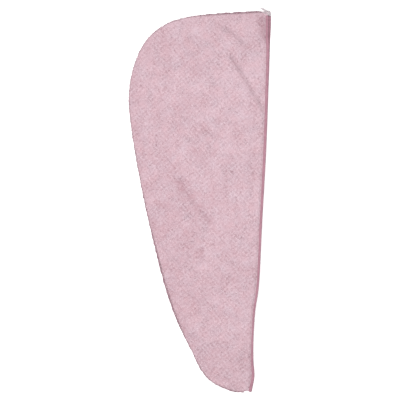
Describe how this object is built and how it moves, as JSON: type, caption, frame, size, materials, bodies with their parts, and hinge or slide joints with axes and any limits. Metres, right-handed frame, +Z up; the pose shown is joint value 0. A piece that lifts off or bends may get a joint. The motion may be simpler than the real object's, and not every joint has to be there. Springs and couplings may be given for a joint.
{
  "type": "hair turban towel",
  "caption": "Teardrop towelling turban for wet hair, lying flat: a wide crown end narrowing to a tail, one long side open for the head and edged with rolled tape.",
  "frame": {"origin": "middle of the footprint, on the surface that the towel lies on", "axes": "+X towards the open side, +Y towards the crown end, +Z up out of the surface"},
  "size_m": [0.2412, 0.6492, 0.0208],
  "materials": {
    "towelling": "soft looped pile, mauve pink",
    "binding_tape": "smooth knitted tape, rose",
    "seam_thread": "overlocked thread, darker rose"
  },
  "bodies": {
    "root": {"back_panel": "towelling", "front_panel": "towelling", "seam": "seam_thread", "back_binding": "binding_tape", "front_binding": "binding_tape"}
  },
  "joints": []
}
